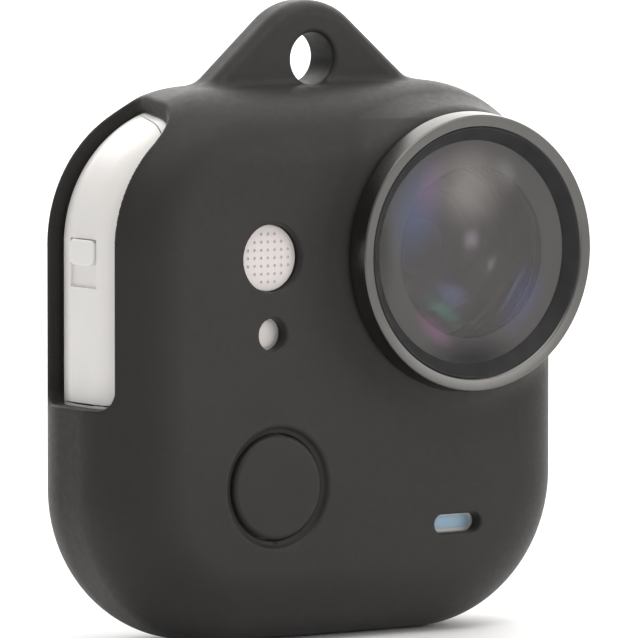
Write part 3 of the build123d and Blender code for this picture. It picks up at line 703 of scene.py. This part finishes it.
def make_guard():
    """Turned ring with bevelled face, its cover glass, gasket, inner baffle and coating film, the last two
    carrying painted reflections and painted shade.
    """
    face, foot = RING_LOW[1], RING_HIGH[1]
    back = face + 2.15
    seat = face + 1.55
    rim = RING_RADIUS
    bore = (GLASS_HIGH[0] - GLASS_LOW[0]) / 2 + SEAL_WALL
    skirt_out, skirt_in = 11.2, 10.75
    outline = [
        (bore, face + 0.30), (bore + 0.15, face + 0.13), (rim - 0.34, face), (rim - 0.22, face + 0.1),
        (rim, back - 0.3), (rim, back - 0.14), (rim - 0.14, back), (skirt_out, back),
        (skirt_out, foot), (skirt_in, foot), (skirt_in, seat), (bore, seat),
    ]
    metal = turned_metal("gunmetal", (0.126, 0.124, 0.120), LENS, 0.28)
    ring = lathe("guard_ring_turned", eased(outline, 0.07), LENS)
    piece(ring, "lens_guard", metal, "guard_metal", "guard_ring")
    glass_radius = bore - SEAL_WALL
    front, rear = GLASS_LOW[1], GLASS_HIGH[1]
    disc = [(0, front), (glass_radius - 0.06, front), (glass_radius, front + 0.06),
            (glass_radius, rear - 0.06), (glass_radius - 0.06, rear), (0, rear)]
    clear = see_through("coated_cover_glass", (0.98, 0.98, 0.98), (1.0, 0.985, 0.985), 1.06, 0.02)
    piece(lathe("cover_glass", disc, LENS), "lens_guard", clear, "cover_glass", "guard_glass")
    mask = rear + 0.02
    window = glass_radius - 1.07
    gasket = [(glass_radius - 0.05, front + 0.1), (bore, front + 0.02), (bore, seat), (window, seat),
              (window, mask)]
    dull = black_plastic("printed_mask", 0.024, 0.5, 0, 0.15)
    piece(lathe("glass_gasket", eased(gasket, 0.03), LENS), "lens_guard", dull, "gasket", "guard_seal")
    baffle = [(7.8, mask + 0.03), (window, mask + 0.03), (window, mask + 0.2), (7.9, mask + 0.2)]
    piece(lathe("lens_baffle", baffle, LENS), "lens_guard", satin_baffle_painted_reflections(), "black_plastic")
    # A pale hazy film behind the mask, carrying the lens's painted reflections and painted shade.
    film = [(0, mask + 0.04), (7.82, mask + 0.04), (7.82, mask + 0.06), (0, mask + 0.06)]
    coat = see_through("inner_coating_painted_reflections", (1.0, 1.0, 1.0), (1.0, 1.0, 1.0), 1.01, 0.02, 0.34, LENS_PAINTED_REFLECTIONS)
    piece(lathe("film_with_painted_reflections", film, LENS), "lens_guard", coat, "cover_glass")


def make_lens():
    """What shows through the cover glass: the front dome element and its retaining ring."""
    y = MID[1]
    dome_centre, dome_radius = y + 5.2, 15.0
    coat = see_through("dome_coating", (0.90, 0.90, 0.93), (0.85, 0.88, 1.0), 1.4, 0.02)
    dome = arc(dome_centre, dome_radius, 7.85) + [(8.3, y - 8.6), (8.3, y - 7.0), (6.4, y - 7.0)]
    hollow = [(6.4 * math.cos(t), y - 7.0 - 1.6 * math.sin(t)) for t in np.linspace(0.1, math.pi / 2, 16)]
    front = lathe("front_element", dome + hollow, LENS)
    piece(front, "camera", coat, "lens_glass", "front_lens")
    lip = [(7.9, y - 9.75), (8.35, y - 9.95), (9.4, y - 9.95), (9.4, y - 9.2), (8.2, y - 9.2)]
    piece(lathe("retaining_ring", eased(lip, 0.06), LENS), "camera", BARREL_BLACK, "black_plastic",
          "lens_retaining_ring")


def make_grille_cloth():
    """Pale cloth a little behind the grille's face, seen through its holes."""
    low, high = box_mm("speaker_grille")
    front = low[1] + 0.07
    disc = [(0, front), (2.8, front), (2.8, front + 0.1), (0, front + 0.1)]
    cloth = small_part("grille_cloth", (0.50, 0.455, 0.45), 0.8, 0.0, 0.1, 0.1)
    piece(lathe("grille_cloth", disc, SPEAKER), "camera", cloth, "grille")


make_sleeve()
make_pad()
make_grille_cloth()
make_guard()
make_lens()

# ---- CAD nodes that show as they are, with their materials ----

NODE_PAINT = {}


def paint_nodes(material, *nodes):
    for node in nodes:
        NODE_PAINT[node] = material


GOLD = small_part("gold_plating", (0.83, 0.62, 0.28), 0.25, 1.0, 0.5, 0.08)
STEEL = plain_metal("plain_steel", (0.55, 0.55, 0.56))
BOARD = circuit_board()
CHIP = small_part("chip_package", (0.035, 0.035, 0.04), 0.55)
GLASS = see_through("inner_glass", (0.92, 0.95, 0.97), (0.7, 0.9, 0.8), 1.6)

paint_nodes(WHITE, "front_shell", "rear_cover", "button_cap", "side_door", "door_latch")
paint_nodes(BARREL_BLACK, "lens_collar", "lens_barrel", "aperture_stop")
paint_nodes(BLACK, "lens_holder", "flex_connector", "contact_block", "port_frame")
paint_nodes(RUBBER, "cover_seal", "door_seal", "battery_pad")
paint_nodes(STEEL, "cover_screws", "speaker_capsule", "dome_switch", "usb_port", "card_socket",
            "door_hinge_pin", "heat_spreader")
paint_nodes(GLASS, "middle_lens", "rear_lens", "infrared_filter")
paint_nodes(BOARD, "sensor_board", "control_board", "main_board")
paint_nodes(CHIP, "processor_chip", "board_chips", "memory_card")
paint_nodes(GOLD, "contact_pins")
paint_nodes(small_part("nickel_plating", (0.7, 0.69, 0.66), 0.22, 1.0, 1.0, 0.06), "mount_magnets")
paint_nodes(small_part("battery_pouch", (0.30, 0.31, 0.33), 0.35, 0.6, 2.0, 0.1), "battery_cell")
paint_nodes(small_part("polyimide", (0.42, 0.19, 0.05), 0.35, 0.0, 0.8, 0.1), "sensor_flex")
paint_nodes(small_part("sensor_face", (0.05, 0.07, 0.10), 0.15, 0.0, 0.4, 0.3), "image_sensor")
paint_nodes(white_plastic("milky_light_pipe", (0.88, 0.83, 0.80)), "indicator_window", "indicator_led",
            "status_led")
paint_nodes(white_plastic("grille_plastic", (0.66, 0.615, 0.605)), "speaker_grille")
paint_nodes(white_plastic("pale_blue_window", (0.36, 0.54, 0.70)), "status_window")

for name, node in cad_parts.items():
    node.data.materials.clear()
    node.data.materials.append(NODE_PAINT.get(name, BLACK))

# ---- Floor, light and camera ----


def make_floor():
    half = 4.0 / MM
    corners = [(-half, -half, 0), (half, -half, 0), (half, half, 0), (-half, half, 0)]
    floor = mesh_object("floor", corners, [(0, 1, 2, 3)])
    paint = Paint("pale_floor", Roughness=0.75)
    paint.feed("Base Color", paint.colours(paint.noise(60.0, 3.0), (0.3, (0.86,) * 3), (0.7, (0.88,) * 3)))
    floor.data.materials.append(paint.material)


def soft_light(name, azimuth, elevation, distance, size, power, colour=(1, 1, 1)):
    """Area light at a bearing round the object, aimed at its middle. Azimuth 0 is in front, 90 at +X."""
    a, e = math.radians(azimuth), math.radians(elevation)
    aim = Vector(MID * MM)
    back = Vector((math.sin(a) * math.cos(e), -math.cos(a) * math.cos(e), math.sin(e)))
    data = bpy.data.lights.new(name, "AREA")
    data.shape = "RECTANGLE"
    data.size, data.size_y = size
    data.energy = power
    data.color = colour
    lamp = bpy.data.objects.new(name, data)
    lamp.location = aim + back * distance
    lamp.rotation_euler = (-back).to_track_quat("-Z", "Y").to_euler()
    bpy.context.scene.collection.objects.link(lamp)


def make_world(strength):
    world = bpy.data.worlds.new("white_studio")
    world.use_nodes = True
    sky = world.node_tree.nodes["Background"]
    sky.inputs["Color"].default_value = (1, 1, 1, 1)
    sky.inputs["Strength"].default_value = strength
    bpy.context.scene.world = world


CAMERA_AZIMUTH, CAMERA_ELEVATION, CAMERA_DISTANCE = -34.5, 4.8, 0.9
VIEW_WIDTH_MM = 57.8                    # how much of the object's plane the frame takes in
VIEW_RIGHT_MM, VIEW_UP_MM = 1.68, 3.52  # the frame's middle from the sleeve's


def make_camera():
    a, e = math.radians(CAMERA_AZIMUTH), math.radians(CAMERA_ELEVATION)
    back = Vector((math.sin(a) * math.cos(e), -math.cos(a) * math.cos(e), math.sin(e)))
    right = Vector((math.cos(a), math.sin(a), 0))
    up = back.cross(right)
    target = Vector(MID * MM) + (right * VIEW_RIGHT_MM + up * VIEW_UP_MM) * MM
    data = bpy.data.cameras.new("camera")
    data.sensor_width = 36.0
    data.lens = 36.0 * CAMERA_DISTANCE / (VIEW_WIDTH_MM * MM)
    data.clip_start, data.clip_end = 0.01, 30.0
    camera = bpy.data.objects.new("camera", data)
    camera.location = target + back * CAMERA_DISTANCE
    camera.rotation_euler = back.to_track_quat("Z", "Y").to_euler()
    bpy.context.scene.collection.objects.link(camera)
    bpy.context.scene.camera = camera


make_floor()
make_world(0.46)
# Each light: name, azimuth, elevation, distance and size in metres, power in watts, colour
soft_light("key_soft_box", 38, 24, 0.5, (0.40, 0.26), 0.45, (1.0, 0.97, 0.94))
soft_light("front_card", 36, 12, 0.9, (0.9, 0.3), 1.3, (1.0, 0.98, 0.96))
soft_light("top_soft_box", -10, 66, 0.26, (0.26, 0.16), 0.4, (1.0, 0.97, 0.945))
soft_light("left_strip", -72, 20, 0.6, (0.2, 0.5), 0.1, (0.99, 0.99, 1.0))
soft_light("back_soft_box", 146, 39, 1.15, (1.9, 1.7), 25.0, (1.0, 0.985, 0.965))
make_camera()
bpy.context.scene.view_settings.view_transform = "Standard"
